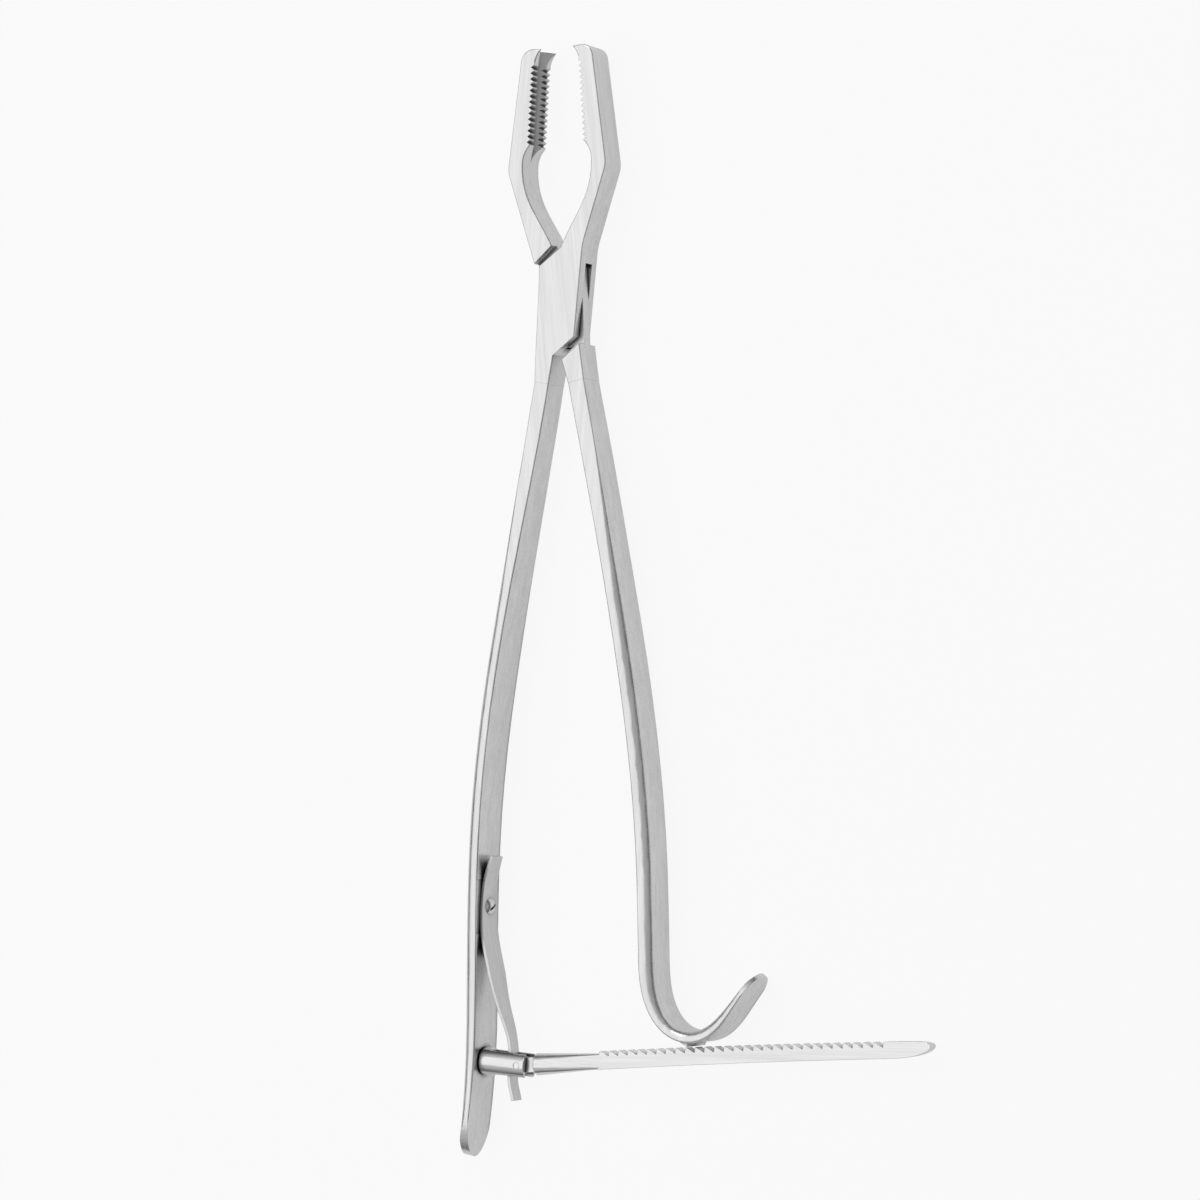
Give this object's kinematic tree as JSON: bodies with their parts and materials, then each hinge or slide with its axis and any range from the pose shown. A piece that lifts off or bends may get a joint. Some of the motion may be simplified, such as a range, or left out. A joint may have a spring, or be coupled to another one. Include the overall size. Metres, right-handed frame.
{
  "type": "bone holding forceps",
  "caption": "Bone holding forceps with a through-tang box lock, grooved serrated claw jaws and a hinged ratchet bar that catches under the hooked handle.",
  "frame": {"origin": "middle of the flat back face of the box lock, on the axis of the lock pin", "axes": "+Y along the instrument towards the jaws, +Z along the lock pin, out of the front face, +X towards the handle with the hook"},
  "size_m": [0.1541, 0.3305, 0.0132],
  "materials": {
    "satin_steel": "satin",
    "polished_steel": "polished",
    "spring_steel": "satin"
  },
  "bodies": {
    "box_half": {"box_half": "satin_steel", "lock_pin": "satin_steel", "ratchet_post": "polished_steel", "ratchet_pin": "polished_steel", "leaf_spring": "spring_steel", "spring_screw": "polished_steel"},
    "hook_half": {"hook_half": "satin_steel"},
    "ratchet_bar": {"ratchet_bar": "satin_steel"}
  },
  "joints": [
    {"name": "handles", "type": "hinge", "parent": "box_half", "child": "hook_half", "pos_m": [0, 0, 0.0048], "axis": [0, 0, 1], "range_deg": [-7.5, 14]},
    {"name": "ratchet", "type": "hinge", "parent": "box_half", "child": "ratchet_bar", "pos_m": [-0.0141, -0.22645, 0.0048], "axis": [0, 0, 1], "range_deg": [-65, 7.1]}
  ],
  "couplings": [
    {"joint": "ratchet", "follows": "handles", "ratio": 0.5}
  ]
}
